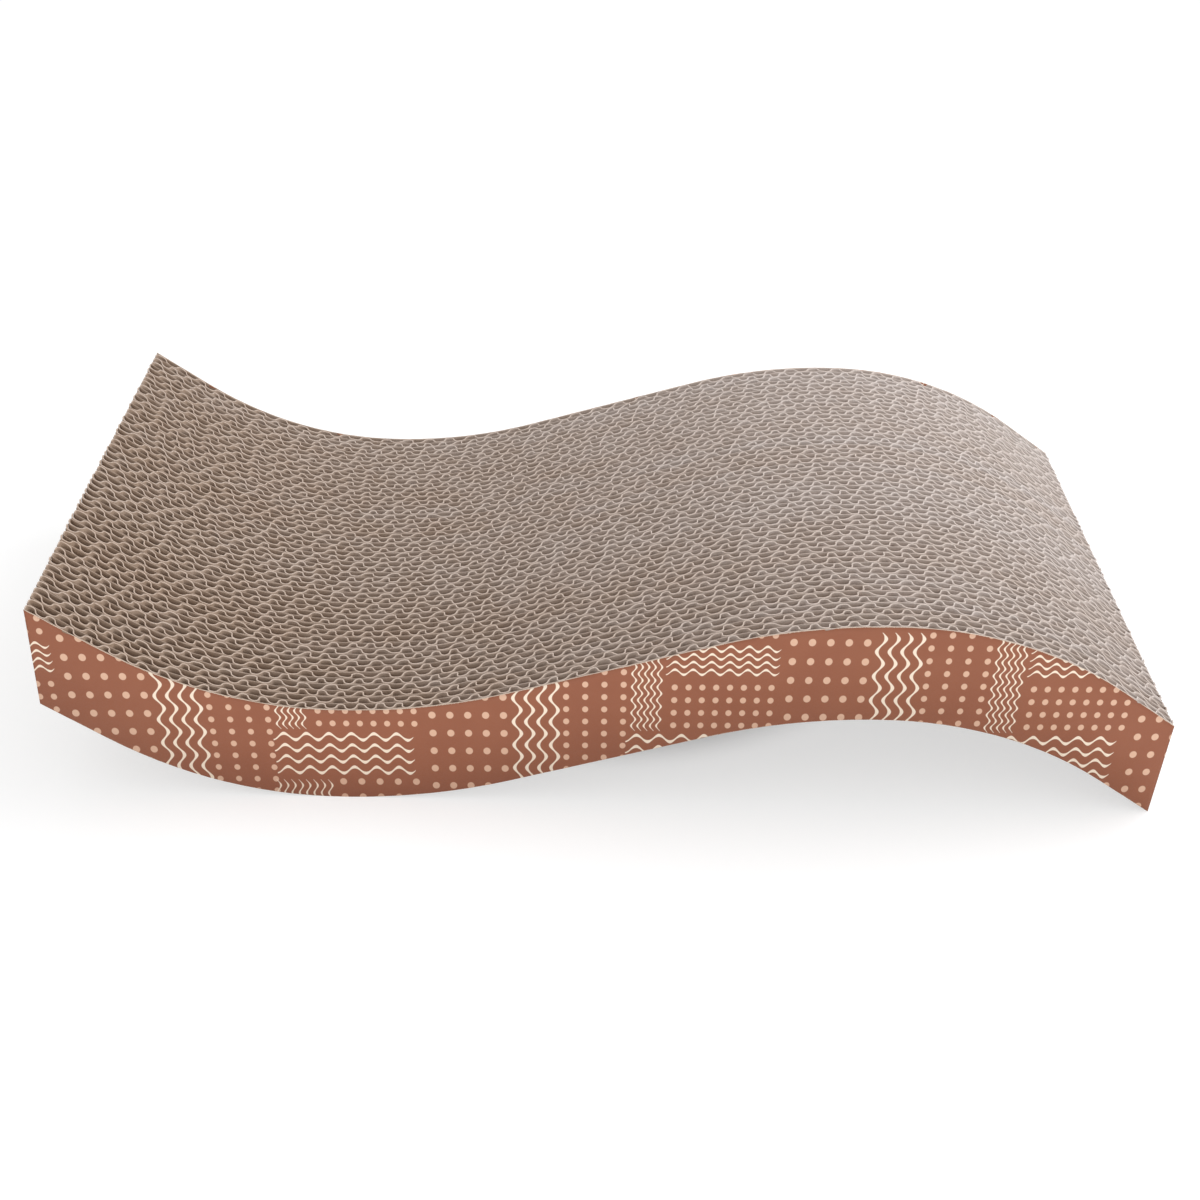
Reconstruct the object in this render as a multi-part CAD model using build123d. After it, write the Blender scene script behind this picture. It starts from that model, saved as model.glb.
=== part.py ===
from build123d import *

import math
import os

# Wave-shaped cardboard cat scratcher: a stack of die-cut corrugated boards,
# standing on edge and glued side by side between two printed sheets.

# Die-cut wave outline, in millimetres and degrees
BAND_DEPTH = 40.0  # wave depth, measured square to its length
MIDDLE_RUN = 70.0  # straight run through the middle, measured along the length
MIDDLE_SLOPE = 18.7  # rise of the middle run
INNER_RADIUS = 203.0  # each bend, on the side of the middle run
OUTER_RADIUS = 142.0  # each bend, on the side of the end run
END_SLOPE = 33.4  # slope of each end run
END_RUN = 21.7  # straight run at each end, measured along the length

# Double-wall board, with its large flutes on its rear side
BOARD_COUNT = 27
BACKING = 3.74  # front liner, small flutes and middle liner, closed
FLUTE_HEIGHT = 3.66
FLUTE_PITCH = 11.0
FLUTE_SHIFT = 0.382  # from board to board, in pitches, because the sheets are cut without register
PRINT_SHEET = 0.3

# Sizes that follow, with the centre of the wave at the origin
board = BACKING + FLUTE_HEIGHT
width = BOARD_COUNT * board + 2 * PRINT_SHEET
middle_slope = math.radians(MIDDLE_SLOPE)
end_slope = math.radians(END_SLOPE)
middle_x = MIDDLE_RUN / 2
middle_z = middle_x * math.tan(middle_slope)
crest_x = middle_x + INNER_RADIUS * math.sin(middle_slope)
crest_z = middle_z + INNER_RADIUS * (1 - math.cos(middle_slope))
bend_x = crest_x + OUTER_RADIUS * math.sin(end_slope)
bend_z = crest_z - OUTER_RADIUS * (1 - math.cos(end_slope))
end_x = bend_x + END_RUN
end_z = bend_z - END_RUN * math.tan(end_slope)


def wave_line(height):
    """Edges of the wave line, moved up by a height, from its raised end to its low end."""
    return [
        Line((-end_x, height - end_z), (-bend_x, height - bend_z)),
        CenterArc((-crest_x, height - crest_z + OUTER_RADIUS), OUTER_RADIUS, 270 - END_SLOPE, END_SLOPE),
        CenterArc((-crest_x, height - crest_z + INNER_RADIUS), INNER_RADIUS, 270, MIDDLE_SLOPE),
        Line((-middle_x, height - middle_z), (middle_x, height + middle_z)),
        CenterArc((crest_x, height + crest_z - INNER_RADIUS), INNER_RADIUS, 90, MIDDLE_SLOPE),
        CenterArc((crest_x, height + crest_z - OUTER_RADIUS), OUTER_RADIUS, 90 - END_SLOPE, END_SLOPE),
        Line((bend_x, height + bend_z), (end_x, height + end_z)),
    ]


def wave_height(x):
    """Height of the same wave line at a place along the length."""
    run = abs(x)
    if run < middle_x:
        height = run * math.tan(middle_slope)
    elif run < crest_x:
        height = crest_z - INNER_RADIUS + math.sqrt(INNER_RADIUS**2 - (crest_x - run) ** 2)
    elif run < bend_x:
        height = crest_z - OUTER_RADIUS + math.sqrt(OUTER_RADIUS**2 - (run - crest_x) ** 2)
    else:
        height = bend_z - (run - bend_x) * math.tan(end_slope)
    return height if x > 0 else -height


def print_sheet(front):
    """A paper sheet with the die-cut outline, from its front face backwards."""
    half = BAND_DEPTH / 2
    raised_end = Line((-end_x, -end_z - half), (-end_x, -end_z + half))
    low_end = Line((end_x, end_z - half), (end_x, end_z + half))
    outline = make_face([*wave_line(half), low_end, *wave_line(-half), raised_end])
    return extrude(Plane.XZ.offset(-front) * outline, amount=-PRINT_SHEET)


def corrugated_board(front, shift):
    """A board whose rear flutes run from its top edge to its bottom edge, open at both."""
    first_fold = math.floor(2 * (shift - end_x / FLUTE_PITCH)) + 1
    last_fold = math.ceil(2 * (shift + end_x / FLUTE_PITCH)) - 1
    folds = [FLUTE_PITCH * (fold / 2 - shift) for fold in range(first_fold, last_fold + 1)]
    sections = []
    for x in (-end_x, *folds, end_x):
        flute = FLUTE_HEIGHT * abs(2 * ((x / FLUTE_PITCH + shift) % 1) - 1)
        depth = BACKING + flute
        centre = Pos(front + depth / 2, wave_height(x))
        sections.append(Plane.YZ.offset(x) * centre * Rectangle(depth, BAND_DEPTH))
    return loft(sections, ruled=True)


def scratcher():
    """Every piece by name, from the front of the stack to the back."""
    pieces = {"front_print_sheet": print_sheet(-width / 2)}
    for number in range(BOARD_COUNT):
        front = PRINT_SHEET - width / 2 + number * board
        shift = number * FLUTE_SHIFT % 1
        pieces[f"board_{number + 1:02d}"] = corrugated_board(front, shift)
    pieces["back_print_sheet"] = print_sheet(width / 2 - PRINT_SHEET)
    return pieces


def standing_place():
    """Sets the wave down on its trough and the lower corner of its low end, centred over the origin."""
    corner_x = end_x + crest_x
    corner_z = end_z + crest_z - INNER_RADIUS
    reach = math.hypot(corner_x, corner_z)
    tilt = math.atan2(corner_z, corner_x) + math.asin(INNER_RADIUS / reach)
    turn = Rot(0, math.degrees(tilt), 0)
    box = (turn * print_sheet(0)).bounding_box()
    return Pos(-box.center().X, 0, -box.min.Z) * turn


os.makedirs("parts", exist_ok=True)
place = standing_place()
for node, piece in scratcher().items():
    export_step(place * piece, f"parts/{node}.step")
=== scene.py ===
import math

import bpy
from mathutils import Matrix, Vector


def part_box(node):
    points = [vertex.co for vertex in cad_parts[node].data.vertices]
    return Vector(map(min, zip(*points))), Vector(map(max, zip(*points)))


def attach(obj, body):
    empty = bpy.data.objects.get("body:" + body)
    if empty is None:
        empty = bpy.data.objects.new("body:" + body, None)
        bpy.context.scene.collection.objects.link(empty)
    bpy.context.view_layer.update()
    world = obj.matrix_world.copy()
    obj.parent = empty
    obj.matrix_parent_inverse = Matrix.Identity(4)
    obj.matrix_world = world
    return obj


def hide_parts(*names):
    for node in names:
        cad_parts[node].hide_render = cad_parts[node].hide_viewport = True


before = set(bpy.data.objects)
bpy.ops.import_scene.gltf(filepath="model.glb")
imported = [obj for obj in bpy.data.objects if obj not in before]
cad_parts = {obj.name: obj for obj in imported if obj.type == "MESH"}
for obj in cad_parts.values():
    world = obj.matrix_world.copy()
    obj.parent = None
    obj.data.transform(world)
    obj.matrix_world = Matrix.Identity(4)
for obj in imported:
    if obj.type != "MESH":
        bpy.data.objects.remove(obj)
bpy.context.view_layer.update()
scene = bpy.context.scene
scene.view_settings.view_transform = "Standard"
print("frame loaded:", len(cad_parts), "nodes")


def shade(red, green, blue):
    # a colour as seen on screen, turned into the linear values that the sockets take
    parts = [part / 255 for part in (red, green, blue)]
    return [((p + 0.055) / 1.055) ** 2.4 if p > 0.04 else p / 12.92 for p in parts] + [1.0]


def feed(tree, value, socket):
    # an output is linked, anything else becomes the input's own value
    if isinstance(value, bpy.types.NodeSocket):
        tree.links.new(value, socket)
    else:
        socket.default_value = value


def addNode(tree, kind, inputs=None, **settings):
    made = tree.nodes.new(kind)
    for name, value in settings.items():
        setattr(made, name, value)
    for key, value in (inputs or {}).items():
        feed(tree, value, made.inputs[key])
    return made


def maths(tree, how, *values):
    return addNode(tree, "ShaderNodeMath", dict(enumerate(values)), operation=how).outputs[0]


def chained(how):
    # the same sum for any number of values, taken from the left
    def join(tree, first, *others):
        for other in others:
            first = maths(tree, how, first, other)
        return first
    return join


plus, minus, times, over = [chained(how) for how in ("ADD", "SUBTRACT", "MULTIPLY", "DIVIDE")]


def ramp(tree, value, low, high, lowOut=0.0, highOut=1.0):
    made = addNode(tree, "ShaderNodeMapRange", {
        "Value": value, "From Min": low, "From Max": high, "To Min": lowOut, "To Max": highOut,
    }, interpolation_type="SMOOTHSTEP")
    return made.outputs["Result"]


def blendColour(tree, factor, first, second, how="MIX"):
    made = addNode(tree, "ShaderNodeMix", {0: factor, 6: first, 7: second}, data_type="RGBA", blend_type=how)
    return made.outputs[2]


def newGroup(name, kind, inputs, outputs):
    # an input is given by its first value, or by the name of its type if it has none
    group = bpy.data.node_groups.new(name, kind)
    for title, value in inputs.items():
        typeOnly = isinstance(value, str)
        socketType = value if typeOnly else type(value).__name__.title()
        socket = group.interface.new_socket(title, in_out="INPUT", socket_type="NodeSocket" + socketType)
        if not typeOnly:
            socket.default_value = value
    for title, socketType in outputs.items():
        group.interface.new_socket(title, in_out="OUTPUT", socket_type="NodeSocket" + socketType)
    return group, group.nodes.new("NodeGroupInput").outputs, group.nodes.new("NodeGroupOutput").inputs


# camera, at the place that the photograph was taken from
shot = {
    "place": (-0.012952, -0.553428, 0.393728),
    "turn": (56.0676, -1.4461, -0.0504),  # degrees
    "lens": 48.816, "sensor": 36,  # millimetres
    "clip": (0.01, 50),
}
camera = bpy.data.objects.new("photoCamera", bpy.data.cameras.new("photoCamera"))
camera.location = shot["place"]
camera.rotation_euler = [math.radians(angle) for angle in shot["turn"]]
camera.data.sensor_width = shot["sensor"]
camera.data.lens = shot["lens"]
camera.data.clip_start, camera.data.clip_end = shot["clip"]
scene.collection.objects.link(camera)
scene.camera = camera
print("camera set")


# the die's line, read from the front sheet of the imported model, in metres
waveLine = {"sheet": "front_print_sheet", "points": 321, "inset": 0.00002, "endReach": 0.005}


def readWave(spec):
    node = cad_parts[spec["sheet"]]
    corners = [vertex.co.copy() for vertex in node.data.vertices]
    low = min(corners, key=lambda corner: corner.x)  # lower corner of the raised end
    high = max((c for c in corners if c.x < low.x + spec["endReach"]), key=lambda corner: corner.z)
    low.y = high.y = sum(c.y for c in corners) / len(corners)
    depth = (high - low).length
    up = (high - low) / depth
    along = Vector((up.z, 0, -up.x))
    span = max((c - low).dot(along) for c in corners) - 2 * spec["inset"]
    line = []
    for step in range(spec["points"]):
        start = low + along * (spec["inset"] + span * step / (spec["points"] - 1)) + up
        found, place = node.ray_cast(start, -up)[:2]
        if not found:
            raise ValueError("the front sheet has a gap in its outline")
        line.append((place.x, 0, place.z))
    mesh = bpy.data.meshes.new("waveLine")
    mesh.from_pydata(line, [(n, n + 1) for n in range(len(line) - 1)], [])
    return mesh, span, up, depth


waveMesh, waveSpan, dieUp, bandDepth = readWave(waveLine)
die = {"Span": waveSpan, "Up": dieUp, "Depth": bandDepth}  # what every tree takes
print("wave line read, band", round(bandDepth * 1000, 2), "mm deep")


# how a paper bends, in metres along the wave
paperForm = {
    "roundness": 0.66,  # of the flutes: 0 gives a plain sine wave, 1 gives flanks that stand upright
    "closing": 0.1,  # share of the length at each end over which the flutes come to meet the cut
    "rows": 3, "crowding": 4.0,  # points from the bottom edge to the rim, and how close to the rim
    "seedStep": 1.37,  # along the noise, from one paper to the next
    "noises": {  # where it is read, size, detail
        "pitch": (0.0, 0.03, 0.0), "finePitch": (7.9, 0.01, 0.0), "skew": (2.3, 0.018, 0.0),
        "crush": (9.1, 0.016, 0.0), "lean": (3.7, 0.007, 0.0), "fray": (5.3, 0.002, 2.0),
    },
    "finePitchShare": 0.5,
    "weld": 0.000001,  # distance at which the two sides are joined
}


def paperTree(form):
    # one sheet of paper, standing on edge along the wave, flat or fluted
    tree, given, result = newGroup("dieCutPaper", "GeometryNodeTree", {
        "Wave": "Geometry", **die, "Place": 0.0, "Thickness": 0.0003, "Columns": 100,
        "Height": 0.0, "Pitch": 0.01, "Wander": 0.0, "Skew": 0.0, "Crush": 0.0,
        "Lean": 0.0, "Fray": 0.0, "Seed": 0,
    }, {"Paper": "Geometry"})
    grid = addNode(tree, "GeometryNodeMeshGrid", {
        "Size X": 1.0, "Size Y": 1.0, "Vertices X": given["Columns"], "Vertices Y": form["rows"]})
    position = tree.nodes.new("GeometryNodeInputPosition").outputs[0]
    flat = addNode(tree, "ShaderNodeSeparateXYZ", {0: position}).outputs
    across = plus(tree, flat["X"], 0.5)
    rise = plus(tree, flat["Y"], 0.5)

    # the cut falls on a flank at both ends, so a quarter flute more at each end closes the row
    fluted = maths(tree, "GREATER_THAN", given["Height"], 0.0)
    halfFlutes = maths(tree, "ROUND", over(tree, times(tree, given["Span"], 2.0), given["Pitch"]))
    flutes = over(tree, halfFlutes, 2.0)
    spare = over(tree, times(tree, fluted, 0.25), flutes)
    run = minus(tree, times(tree, across, plus(tree, 1.0, times(tree, spare, 2.0))), spare)
    along = times(tree, run, given["Span"])

    def edgeNoise(kind):
        # smooth noise along the wave, from -0.5 to 0.5
        start, size, detail = form["noises"][kind]
        shifted = plus(tree, along, start, times(tree, given["Seed"], form["seedStep"]))
        noise = addNode(tree, "ShaderNodeTexNoise", {
            "W": shifted, "Scale": 1 / size, "Detail": detail}, noise_dimensions="1D")
        return minus(tree, noise.outputs[0], 0.5)

    # between the ends each row has its own shift, and pitches that wander
    side, shift = [addNode(tree, "FunctionNodeRandomValue", {"ID": given["Seed"], "Seed": number},
                           data_type="FLOAT").outputs[1] for number in (1, 2)]
    uneven = plus(tree, edgeNoise("pitch"), times(tree, edgeNoise("finePitch"), form["finePitchShare"]))
    wander = times(tree, uneven, given["Wander"])
    closing = form["closing"]
    free = times(tree, ramp(tree, run, 0.0, closing), ramp(tree, run, 1.0, 1.0 - closing))
    ownStart = plus(tree, times(tree, maths(tree, "ROUND", side), 0.5),
                    times(tree, plus(tree, shift, wander), free))
    angle = times(tree, plus(tree, times(tree, run, flutes), ownStart), 2 * math.pi)
    swing = maths(tree, "SINE", angle)

    # round flutes bulge over their flanks, and some are skewed or pressed flatter
    doubled = maths(tree, "SINE", times(tree, angle, 2.0))
    overhang = over(tree, times(tree, doubled, form["roundness"] / (4 * math.pi)), flutes)
    skew = over(tree, times(tree, given["Skew"], times(tree, free, edgeNoise("skew"))), given["Span"])
    sideways = minus(tree, times(tree, swing, skew), overhang)
    moved = plus(tree, run, times(tree, sideways, fluted))
    crush = plus(tree, 0.5, edgeNoise("crush"))
    kept = minus(tree, 1.0, times(tree, crush, given["Crush"]))
    flute = times(tree, swing, times(tree, given["Height"], 0.5), kept)

    # the place on the wave, whose points are evenly spaced along the length
    waveSize = addNode(tree, "GeometryNodeAttributeDomainSize", {"Geometry": given["Wave"]})
    last = minus(tree, waveSize.outputs["Point Count"], 1.0)
    step = times(tree, addNode(tree, "ShaderNodeClamp", {"Value": moved}).outputs[0], last)
    before = maths(tree, "FLOOR", maths(tree, "MINIMUM", step, minus(tree, last, 0.5)))
    nearby = [addNode(tree, "GeometryNodeSampleIndex", {
        "Geometry": given["Wave"], "Value": position, "Index": index}, data_type="FLOAT_VECTOR").outputs[0]
        for index in (before, plus(tree, before, 1.0))]
    top = addNode(tree, "ShaderNodeMix", {
        0: minus(tree, step, before), 4: nearby[0], 5: nearby[1]}, data_type="VECTOR").outputs[1]

    # the cut rim leans and frays, the rest of the sheet stays upright
    rim = maths(tree, "GREATER_THAN", rise, 0.9)  # only the topmost row of points
    leaning = times(tree, edgeNoise("lean"), times(tree, given["Lean"], rim))
    fraying = times(tree, edgeNoise("fray"), times(tree, given["Fray"], rim))
    down = times(tree, given["Depth"], maths(tree, "POWER", minus(tree, 1.0, rise), form["crowding"]))
    depthwise = plus(tree, plus(tree, given["Place"], flute),
                     plus(tree, leaning, times(tree, given["Thickness"], 0.5)))
    backwards = addNode(tree, "ShaderNodeCombineXYZ", {"Y": depthwise}).outputs[0]
    upright = addNode(tree, "ShaderNodeVectorMath", {
        0: given["Up"], "Scale": minus(tree, fraying, down)}, operation="SCALE").outputs[0]
    place = top
    for move in (backwards, upright):
        place = addNode(tree, "ShaderNodeVectorMath", {0: place, 1: move}, operation="ADD").outputs[0]
    sheet = grid.outputs["Mesh"]
    for name, value in (("fromTop", down), ("fluted", fluted)):
        sheet = addNode(tree, "GeometryNodeStoreNamedAttribute", {
            "Geometry": sheet, "Name": name, "Value": value}, data_type="FLOAT", domain="POINT").outputs[0]
    sheet = addNode(tree, "GeometryNodeSetPosition", {"Geometry": sheet, "Position": place}).outputs[0]

    # thickness, with the cut faces marked so that they show raw fibre
    thick = addNode(tree, "GeometryNodeExtrudeMesh", {
        "Mesh": sheet, "Offset Scale": given["Thickness"], "Individual": False}, mode="FACES").outputs
    front = addNode(tree, "GeometryNodeStoreNamedAttribute", {
        "Geometry": thick["Mesh"], "Name": "cutFace", "Value": thick["Side"],
    }, data_type="FLOAT", domain="FACE")
    back = addNode(tree, "GeometryNodeFlipFaces", {"Mesh": sheet})
    both = tree.nodes.new("GeometryNodeJoinGeometry")
    for side, uncut in ((front, minus(tree, 1.0, thick["Side"])), (back, True)):
        smooth = addNode(tree, "GeometryNodeSetShadeSmooth", {
            "Geometry": side.outputs[0], "Selection": uncut, "Shade Smooth": True})
        tree.links.new(smooth.outputs[0], both.inputs[0])
    closed = addNode(tree, "GeometryNodeMergeByDistance", {
        "Geometry": both.outputs[0], "Distance": form["weld"]})
    tree.links.new(closed.outputs[0], result["Paper"])
    return tree


paper = paperTree(paperForm)


def usePaper(tree, given, values):
    shared = {name: given[name] for name in ("Wave", *die, "Seed")}
    return addNode(tree, "GeometryNodeGroup", {**shared, **values}, node_tree=paper).outputs["Paper"]


def closeTree(tree, given, result, papers):
    # the end of each piece's tree: one real mesh with its finish
    joined = tree.nodes.new("GeometryNodeJoinGeometry")
    for sheet in reversed(papers):
        tree.links.new(sheet, joined.inputs[0])
    real = addNode(tree, "GeometryNodeRealizeInstances", {"Geometry": joined.outputs[0]})
    finished = addNode(tree, "GeometryNodeSetMaterial", {
        "Geometry": real.outputs[0], "Material": given["Finish"]})
    tree.links.new(finished.outputs[0], result["Geometry"])


def makePiece(name, tree, values):
    piece = bpy.data.objects.new(name, waveMesh)
    scene.collection.objects.link(piece)
    modifier = piece.modifiers.new("shape", "NODES")
    modifier.node_group = tree
    for item in tree.interface.items_tree:
        if item.in_out == "INPUT" and item.name in values:
            modifier[item.identifier] = values[item.name]
    depsgraph = bpy.context.evaluated_depsgraph_get()
    mesh = bpy.data.meshes.new_from_object(piece.evaluated_get(depsgraph))
    piece.modifiers.remove(modifier)
    piece.data = mesh
    mesh.name = name
    return piece


def newMaterial(name):
    material = bpy.data.materials.new(name)
    material.use_nodes = True
    tree = material.node_tree
    return material, tree, tree.nodes["Principled BSDF"].inputs


# paper grain, for both finishes: where the noise starts and ends, and shares of the height
grainForm = {"contrast": (0.3, 0.7), "fibreShare": 0.8, "mottleShare": 0.2}


def grainGroup(form):
    # short fibres, a cloudy mottle, and the height of both
    tree, given, result = newGroup("paperGrain", "ShaderNodeTree", {
        "Vector": "Vector", "Fibre Size": 0.0006, "Mottle Size": 0.012,
    }, {"Fibres": "Float", "Mottle": "Float", "Height": "Float"})
    fibre = addNode(tree, "ShaderNodeTexNoise", {
        "Vector": given["Vector"], "Scale": over(tree, 1.0, given["Fibre Size"]),
        "Detail": 4.0, "Roughness": 0.65, "Distortion": 1.2})
    cloud = addNode(tree, "ShaderNodeTexNoise", {
        "Vector": given["Vector"], "Scale": over(tree, 1.0, given["Mottle Size"]),
        "Detail": 3.0, "Roughness": 0.55})
    fibres, mottle = [ramp(tree, noise.outputs[0], *form["contrast"]) for noise in (fibre, cloud)]
    height = plus(tree, times(tree, fibres, form["fibreShare"]), times(tree, mottle, form["mottleShare"]))
    for title, value in (("Fibres", fibres), ("Mottle", mottle), ("Height", height)):
        tree.links.new(value, result[title])
    return tree


paperGrain = grainGroup(grainForm)


def useGrain(tree, place, spec):
    return addNode(tree, "ShaderNodeGroup", {
        "Vector": place, "Fibre Size": spec["fibre"], "Mottle Size": spec["mottle"],
    }, node_tree=paperGrain).outputs


def readMark(tree, name):
    # a value that the paper's tree left on its mesh
    return addNode(tree, "ShaderNodeAttribute", attribute_name=name).outputs["Fac"]


def edgeGap(tree):
    # metres to the nearer cut edge, above or below
    fromTop = readMark(tree, "fromTop")
    return maths(tree, "MINIMUM", fromTop, minus(tree, bandDepth, fromTop))


def dressSurface(tree, surface, colour, grain, spec):
    # colour, roughness from the fibres, and the grain's relief
    feed(tree, colour, surface["Base Color"])
    feed(tree, ramp(tree, grain["Fibres"], 0, 1, *spec["roughness"]), surface["Roughness"])
    bump = addNode(tree, "ShaderNodeBump", {
        "Height": grain["Height"], "Strength": spec["bump"], "Distance": spec["bumpHeight"]})
    feed(tree, bump.outputs[0], surface["Normal"])


# brown board: kraft walls, paler raw edges where the die cut through, sizes in metres
kraft = {
    "wall": shade(166, 145, 128), "wallPaintedLit": shade(210, 200, 196),
    "cut": shade(213, 195, 182), "cutPaintedLit": shade(213, 204, 200),
    "paintedLightGradient": (4.5, 1.6), "paintedLightMottle": 0.3,  # painted light: boards are paler towards the right and the back, in blotches, as if lit more strongly there
    "scuff": (0.0003, 0.00009),  # from a cut edge, where the rubbed fibre starts and where it is full
    "linerRaw": 0.36, "linerPaintedShade": shade(236, 234, 232),  # liners are thinner and show less raw fibre, and their walls are darkened by a painted shade
    "grainTint": shade(222, 212, 202), "grainShare": 0.5,
    # each board has its own browner tone, and the boards towards the front are darkened by a painted shade
    "warmToneAndShade": shade(236, 218, 198), "warmOwn": 0.2, "paintedShadeFront": 0.12, "paintedShadeReach": 0.1,
    "boardStep": 0.0074,
    "fibre": 0.0007, "mottle": 0.014, "roughness": (0.82, 0.96), "bump": 0.35, "bumpHeight": 0.00012,
}


def kraftFinish(spec):
    material, tree, surface = newMaterial("kraftBoard")
    place = tree.nodes.new("ShaderNodeTexCoord").outputs["Object"]
    sides = addNode(tree, "ShaderNodeSeparateXYZ", {0: place}).outputs
    grain = useGrain(tree, place, spec)
    # painted light: walls and cut edges turn paler towards the right and the back
    toRight, toBack = spec["paintedLightGradient"]
    slope = plus(tree, times(tree, sides["X"], toRight), times(tree, sides["Y"], toBack))
    paintedLightBreakup = times(tree, minus(tree, grain["Mottle"], 0.5), spec["paintedLightMottle"])
    paintedLightGradient = ramp(tree, plus(tree, slope, paintedLightBreakup), -1.0, 1.0)
    walls = blendColour(tree, paintedLightGradient, spec["wall"], spec["wallPaintedLit"])
    raw = blendColour(tree, paintedLightGradient, spec["cut"], spec["cutPaintedLit"])

    # raw fibre shows on the cut faces and close to them
    fluted = readMark(tree, "fluted")
    # painted shade: liner walls darker, so the hollows in front of them look as dark as those under the
    # flutes
    walls = blendColour(tree, minus(tree, 1.0, fluted), walls, spec["linerPaintedShade"], "MULTIPLY")
    scuffed = ramp(tree, edgeGap(tree), *spec["scuff"])
    rawness = times(tree, maths(tree, "MAXIMUM", readMark(tree, "cutFace"), scuffed),
                    ramp(tree, fluted, 0, 1, spec["linerRaw"], 1.0))
    colour = blendColour(tree, rawness, walls, raw)
    fibres = times(tree, grain["Fibres"], spec["grainShare"])
    colour = blendColour(tree, fibres, colour, spec["grainTint"], "MULTIPLY")

    # boards come from different sheets, so some are browner at random, and towards the front all are darkened
    # and browned further, a painted shade
    sheetNumber = maths(tree, "FLOOR", over(tree, sides["Y"], spec["boardStep"]))
    own = addNode(tree, "ShaderNodeTexWhiteNoise", {"W": sheetNumber}, noise_dimensions="1D").outputs["Value"]
    # painted shade: darker and browner towards the front
    front = ramp(tree, sides["Y"], spec["paintedShadeReach"], -spec["paintedShadeReach"])
    browningAndShade = plus(tree, times(tree, own, spec["warmOwn"]), times(tree, front, spec["paintedShadeFront"]))
    colour = blendColour(tree, browningAndShade, colour, spec["warmToneAndShade"], "MULTIPLY")
    dressSurface(tree, surface, colour, grain, spec)
    return material


# how sharply the ink ends, in millimetres
inkEdge = {
    "dot": 0.12, "stroke": 0.14,
    "beyondEnd": 0.1, "beforeEnd": 0.3,  # at both ends of a line
    "tipWidth": 0.4,  # share of a line's full width
}


def insideRows(tree, whole, count):
    # 1 where a row's number is from 0 to the last
    return times(tree, maths(tree, "GREATER_THAN", whole, -0.5),
                 maths(tree, "LESS_THAN", whole, minus(tree, count, 0.5)))


def dotGroup(edges):
    # a block of round dots, in millimetres from the block's lower left corner
    tree, given, result = newGroup("dotBlock", "ShaderNodeTree", {
        "Across": 0.0, "Up": 0.0, "Columns": 4.0, "Rows": 4.0, "Column Gap": 6.0, "Row Gap": 6.0,
        "Size": 2.5, "Tall": 1.0,
    }, {"Mask": "Float"})
    offsets, fits = [], []
    for axis, count, gap in (("Across", "Columns", "Column Gap"), ("Up", "Rows", "Row Gap")):
        steps = over(tree, given[axis], given[gap])
        whole = maths(tree, "FLOOR", steps)
        fits.append(insideRows(tree, whole, given[count]))
        offsets.append(times(tree, minus(tree, steps, whole, 0.5), given[gap]))
    offsets[1] = over(tree, offsets[1], given["Tall"])
    squares = [maths(tree, "POWER", offset, 2.0) for offset in offsets]
    radius = maths(tree, "SQRT", plus(tree, *squares))
    edge = minus(tree, times(tree, given["Size"], 0.5), radius)
    mask = times(tree, *fits, ramp(tree, edge, -edges["dot"], edges["dot"]))
    tree.links.new(mask, result["Mask"])
    return tree


def waveGroup(edges):
    # a block of wavy lines that run up, broad at their turns, thin on their slopes and at their tips
    tree, given, result = newGroup("waveBlock", "ShaderNodeTree", {
        "Across": 0.0, "Up": 0.0, "Lines": 4.0, "Gap": 4.0, "Run": 20.0, "Wave": 8.0, "Swing": 1.5,
        "Pen": 1.0, "Start": 0.0, "Thin": 0.3, "Tip": 2.0,
    }, {"Mask": "Float"})
    turn = times(tree, plus(tree, over(tree, given["Up"], given["Wave"]), given["Start"]), 2 * math.pi)
    moved = minus(tree, given["Across"], times(tree, maths(tree, "SINE", turn), given["Swing"]))
    steps = over(tree, moved, given["Gap"])
    whole = maths(tree, "FLOOR", steps)
    offset = maths(tree, "ABSOLUTE", minus(tree, steps, whole, 0.5))
    slope = maths(tree, "POWER", maths(tree, "COSINE", turn), 2.0)
    broad = minus(tree, 1.0, times(tree, slope, given["Thin"]))
    fromEnd = maths(tree, "MINIMUM", given["Up"], minus(tree, given["Run"], given["Up"]))
    tip = ramp(tree, fromEnd, 0.0, given["Tip"], edges["tipWidth"], 1.0)
    stroke = times(tree, given["Pen"], broad, tip)
    edge = minus(tree, times(tree, stroke, 0.5), times(tree, offset, given["Gap"]))
    started = ramp(tree, given["Up"], -edges["beyondEnd"], edges["beforeEnd"])
    past = minus(tree, given["Up"], given["Run"])
    ended = ramp(tree, past, -edges["beforeEnd"], edges["beyondEnd"])
    ends = times(tree, started, minus(tree, 1.0, ended))
    mask = times(tree, insideRows(tree, whole, given["Lines"]), ends,
                 ramp(tree, edge, -edges["stroke"], edges["stroke"]))
    tree.links.new(mask, result["Mask"])
    return tree


dotBlock, waveBlock = dotGroup(inkEdge), waveGroup(inkEdge)

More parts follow.
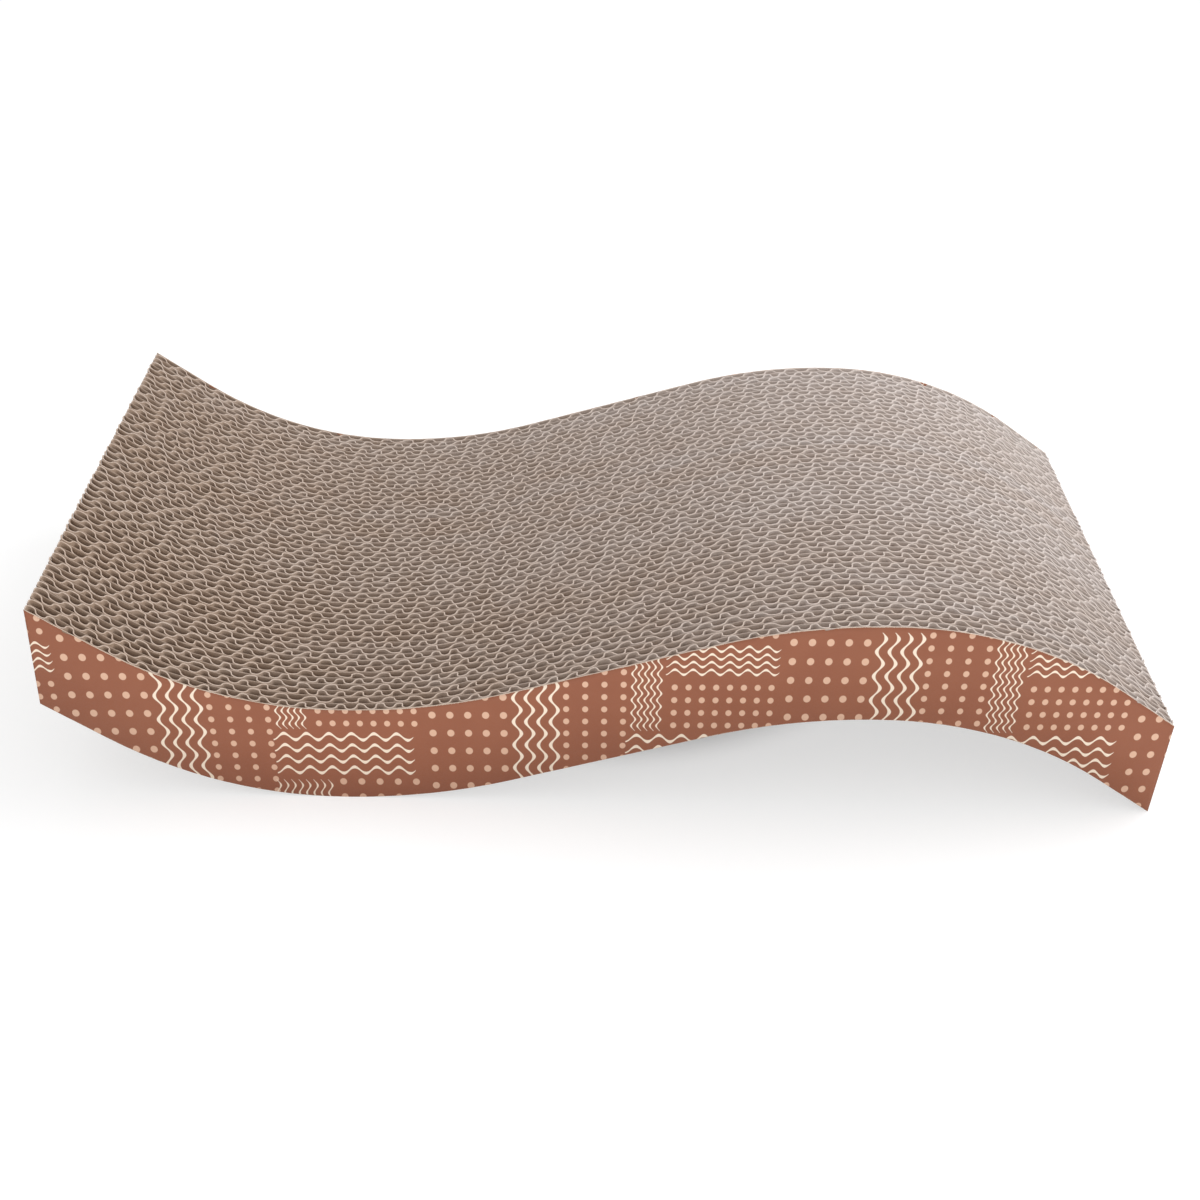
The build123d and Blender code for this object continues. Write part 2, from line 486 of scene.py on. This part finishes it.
# the print, in millimetres: blocks of dots and waves in a strip that repeats along the sheet
printed = {
    "ground": shade(149, 88, 61), "groundPale": shade(155, 94, 66), "paleMottle": 0.6, "paleFibres": 0.4,
    "dot": shade(229, 186, 158), "wave": shade(255, 236, 214), "core": shade(206, 186, 168),
    "scale": 1000,  # millimetres in a metre
    "repeat": 125.3, "start": -190.0, "turn": 1.0,  # the turn in degrees
    "tall": 1.2,  # dots, height to width
    "thin": 0.36, "tip": 2.5,  # wavy lines, share lost on their slopes and length of their tips
    "dots": [  # left, bottom, columns, rows, column gap, row gap, size
        (-0.6, -12.8, 5, 12, 6.3, 8.07, 2.55),
        (46.5, -14.4, 4, 18, 6.69, 5.43, 2.15),
        (85.3, 32.9, 8, 4, 4.82, 5.59, 2.15),
        (85.3, 72.1, 8, 2, 4.82, 5.35, 2.15),
        (91.0, -9.0, 5, 3, 6.6, 7.2, 2.5),
    ],
    "uprightWaves": [  # left, bottom, lines, gap, run, wave, swing, pen, start in waves
        (30.4, -12.0, 4, 4.35, 88.3, 10.48, 1.35, 1.25, 0.09),
        (72.4, 33.0, 5, 2.22, 60.0, 5.71, 0.72, 0.68, 0.33),
        (69.3, -12.0, 8, 2.67, 21.9, 7.4, 0.78, 0.68, 0.67),
    ],
    "levelWaves": [  # the same, with lines that run to the right
        (70.8, 11.8, 4, 5.1, 50.0, 8.0, 1.45, 1.4, -0.25),
        (84.4, 57.4, 4, 3.3, 39.4, 6.3, 1.1, 1.05, -0.25),
    ],
    # the paper, in metres
    "fibre": 0.0005, "mottle": 0.02, "roughness": (0.58, 0.72), "bump": 0.12, "bumpHeight": 0.00006,
    "wear": 0.0004,  # ink rubbed off along the cut edges
}


def printFinish(spec):
    material, tree, surface = newMaterial("printedPaper")
    place = tree.nodes.new("ShaderNodeTexCoord").outputs["Object"]
    flat = addNode(tree, "ShaderNodeMapping", {
        "Vector": place, "Rotation": (0, math.radians(spec["turn"]), 0), "Scale": [spec["scale"]] * 3})
    sides = addNode(tree, "ShaderNodeSeparateXYZ", {0: flat.outputs[0]}).outputs
    strip = maths(tree, "FLOORED_MODULO", minus(tree, sides["X"], spec["start"]), spec["repeat"])

    def block(group, left, bottom, level, values):
        across, up = minus(tree, strip, left), minus(tree, sides["Z"], bottom)
        if level:
            across, up = up, across
        made = addNode(tree, "ShaderNodeGroup", {"Across": across, "Up": up, **values}, node_tree=group)
        return made.outputs["Mask"]

    dots = waves = 0.0
    for left, bottom, columns, rows, columnGap, rowGap, size in spec["dots"]:
        dots = maths(tree, "MAXIMUM", dots, block(dotBlock, left, bottom, False, {
            "Columns": columns, "Rows": rows, "Column Gap": columnGap, "Row Gap": rowGap,
            "Size": size, "Tall": spec["tall"]}))
    for level, blocks in ((False, spec["uprightWaves"]), (True, spec["levelWaves"])):
        for left, bottom, lines, gap, run, wave, swing, pen, start in blocks:
            waves = maths(tree, "MAXIMUM", waves, block(waveBlock, left, bottom, level, {
                "Lines": lines, "Gap": gap, "Run": run, "Wave": wave, "Swing": swing, "Pen": pen,
                "Start": start, "Thin": spec["thin"], "Tip": spec["tip"]}))

    grain = useGrain(tree, place, spec)
    pale = plus(tree, times(tree, grain["Mottle"], spec["paleMottle"]),
                times(tree, grain["Fibres"], spec["paleFibres"]))
    colour = blendColour(tree, pale, spec["ground"], spec["groundPale"])
    colour = blendColour(tree, dots, colour, spec["dot"])
    colour = blendColour(tree, waves, colour, spec["wave"])

    # the ink is rubbed off along the cut edges, and the cut faces show the paper's core
    reach = times(tree, grain["Mottle"], times(tree, grain["Fibres"], spec["wear"]))
    rubbed = maths(tree, "LESS_THAN", edgeGap(tree), reach)
    bare = maths(tree, "MAXIMUM", rubbed, readMark(tree, "cutFace"))
    colour = blendColour(tree, bare, colour, spec["core"])
    dressSurface(tree, surface, colour, grain, spec)
    return material


kraftBoard = kraftFinish(kraft)
printedPaper = printFinish(printed)
print("finishes made")


# the stack of boards, from the front to the back, in metres
stack = {
    "count": 27, "seed": 11, "seedStep": 10,  # each paper of a board adds its own number
    "board": {
        "Liner": 0.00022, "Medium": 0.0004,  # thickness of the flat and of the fluted papers
        "Small Height": 0.0033, "Small Pitch": 0.00677, "Large Pitch": 0.0094,
        "Wander": 0.19,  # flutes out of step, in pitches
        "Skew": 0.0016, "Crush": 0.12,  # flutes bent to one side, share of the height pressed flat
        "Lean": 0.001, "Fray": 0.0004,  # of the cut rims
        "Liner Columns": 160, "Flute Columns": 880,
    },
}


def boardTree(spec):
    # double-wall board: liner, small flutes, liner, large flutes, liner
    tree, given, result = newGroup("doubleWallBoard", "GeometryNodeTree", {
        "Wave": "Geometry", **die, "Front": 0.0, "Board": 0.0, **spec, "Seed": 0, "Finish": "Material",
    }, {"Geometry": "Geometry"})
    largeHeight = minus(tree, given["Board"], plus(
        tree, given["Small Height"], times(tree, given["Liner"], 3.0)))
    small, large = (given["Small Height"], given["Small Pitch"]), (largeHeight, given["Large Pitch"])
    papers = []
    front = given["Front"]
    for number, flutes in enumerate((None, small, None, large, None)):
        room, pitch = flutes or (given["Liner"], None)
        values = {
            "Place": plus(tree, front, times(tree, room, 0.5)),
            "Lean": given["Lean"], "Fray": given["Fray"],
            "Seed": plus(tree, given["Seed"], float(number)),
        }
        if flutes:
            values |= {name: given[name] for name in ("Wander", "Skew", "Crush")}
            values |= {"Thickness": given["Medium"], "Columns": given["Flute Columns"],
                       "Height": minus(tree, room, given["Medium"]), "Pitch": pitch}
        else:
            values |= {"Thickness": given["Liner"], "Columns": given["Liner Columns"]}
        papers.append(usePaper(tree, given, values))
        front = plus(tree, front, room)
    closeTree(tree, given, result, papers)
    return tree


def makeBoards(spec):
    tree = boardTree(spec["board"])
    faces = 0
    for number in range(1, spec["count"] + 1):
        node = f"board_{number:02d}"
        low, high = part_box(node)
        piece = makePiece(f"corrugatedBoard{number:02d}", tree, {
            **die, **spec["board"], "Front": low.y, "Board": high.y - low.y,
            "Seed": spec["seed"] + spec["seedStep"] * number, "Finish": kraftBoard,
        })
        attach(piece, "root")
        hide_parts(node)
        faces += len(piece.data.polygons)
    print("boards made:", spec["count"], "with", faces, "faces")


makeBoards(stack)


# the two printed sheets that face the stack, in metres
sheets = {
    "pieces": {"frontPrintSheet": "front_print_sheet", "backPrintSheet": "back_print_sheet"},
    "seed": 501,
    "sheet": {"Columns": 320, "Lean": 0.00015, "Fray": 0.00015},
}


def sheetTree(spec):
    # a single printed sheet, cut with the same die
    tree, given, result = newGroup("printedSheet", "GeometryNodeTree", {
        "Wave": "Geometry", **die, "Front": 0.0, "Paper": 0.0, **spec, "Seed": 0, "Finish": "Material",
    }, {"Geometry": "Geometry"})
    values = {name: given[name] for name in spec}
    values["Place"] = plus(tree, given["Front"], times(tree, given["Paper"], 0.5))
    values["Thickness"] = given["Paper"]
    closeTree(tree, given, result, [usePaper(tree, given, values)])
    return tree


def makeSheets(spec):
    tree = sheetTree(spec["sheet"])
    for number, (name, node) in enumerate(spec["pieces"].items()):
        low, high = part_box(node)
        piece = makePiece(name, tree, {
            **die, **spec["sheet"], "Front": low.y, "Paper": high.y - low.y,
            "Seed": spec["seed"] + number, "Finish": printedPaper,
        })
        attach(piece, "root")
        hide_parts(node)
    print("print sheets made")


makeSheets(sheets)


# pale floor, soft light from above right and behind, and a low strip light in front
studio = {
    "floorSize": 12.0, "floor": (0.9, 0.9, 0.9, 1.0), "floorRoughness": 0.9,
    "floorSeen": (0.5, 0.5, 0.5, 1.0), "floorLift": 0.6,  # as the camera sees it
    "paintedShadowCentre": (-0.01, -0.01), "paintedShadowReach": (0.12, 0.075), "paintedShadowCore": 0.5,  # floor that isn't lifted, a painted shadow under the object
    "sky": 0.8,
    "lamps": {  # place, what it looks at, width and height, watts, colour
        "keyLamp": ((0.5, 0.2, 0.62), (0.1, 0.0, 0.05), (0.6, 0.6), 3.8, (0.95, 0.98, 1.0)),
        "stripLamp": ((-0.1, -1.2, 0.05), (0.0, -0.1, 0.04), (1.6, 0.08), 2.7, (1.0, 0.97, 0.94)),
    },
}


def seenDirectly(tree):
    # 1 where the camera, a reflection or a view through glass sees the backdrop
    path = tree.nodes.new("ShaderNodeLightPath").outputs
    seen = maths(tree, "MAXIMUM", path["Is Camera Ray"], path["Is Glossy Ray"])
    return maths(tree, "MAXIMUM", seen, path["Is Transmission Ray"])


def makeFloor(spec):
    half = spec["floorSize"] / 2
    corners = [(-half, -half, 0), (half, -half, 0), (half, half, 0), (-half, half, 0)]
    mesh = bpy.data.meshes.new("studioFloor")
    mesh.from_pydata(corners, [], [(0, 1, 2, 3)])
    floor = bpy.data.objects.new("studioFloor", mesh)
    scene.collection.objects.link(floor)
    material, tree, surface = newMaterial("studioFloor")
    mesh.materials.append(material)
    seen = seenDirectly(tree)
    feed(tree, blendColour(tree, seen, spec["floor"], spec["floorSeen"]), surface["Base Color"])
    surface["Roughness"].default_value = spec["floorRoughness"]
    surface["Specular IOR Level"].default_value = 0.0

    # lifted to white around the object, not under it, leaving a painted shadow beneath it
    sides = addNode(tree, "ShaderNodeSeparateXYZ", {
        0: tree.nodes.new("ShaderNodeTexCoord").outputs["Object"]}).outputs
    offsets = [maths(tree, "POWER", over(tree, minus(tree, side, centre), reach), 2.0)
               for side, centre, reach in zip(sides, spec["paintedShadowCentre"], spec["paintedShadowReach"])]
    around = ramp(tree, maths(tree, "SQRT", plus(tree, *offsets)), spec["paintedShadowCore"], 1.0)
    surface["Emission Color"].default_value = (1, 1, 1, 1)
    feed(tree, times(tree, seen, spec["floorLift"], around), surface["Emission Strength"])

    # from below the floor lets the underside be seen
    below = tree.nodes.new("ShaderNodeNewGeometry").outputs["Backfacing"]
    feed(tree, minus(tree, 1.0, below), surface["Alpha"])


def makeSky(spec):
    world = bpy.data.worlds.new("studioSky")
    scene.world = world
    world.use_nodes = True
    tree = world.node_tree
    sky = tree.nodes["Background"].inputs
    sky["Color"].default_value = (1, 1, 1, 1)
    feed(tree, ramp(tree, seenDirectly(tree), 0, 1, spec["sky"], 1.0), sky["Strength"])


def makeLamps(spec):
    for name, (place, aim, size, watts, colour) in spec["lamps"].items():
        light = bpy.data.lights.new(name, "AREA")
        light.shape, light.energy, light.color = "RECTANGLE", watts, colour
        light.size, light.size_y = size
        lamp = bpy.data.objects.new(name, light)
        lamp.location = place
        lamp.rotation_euler = (Vector(aim) - Vector(place)).to_track_quat("-Z", "Y").to_euler()
        scene.collection.objects.link(lamp)


makeFloor(studio)
makeSky(studio)
makeLamps(studio)
print("studio lit")
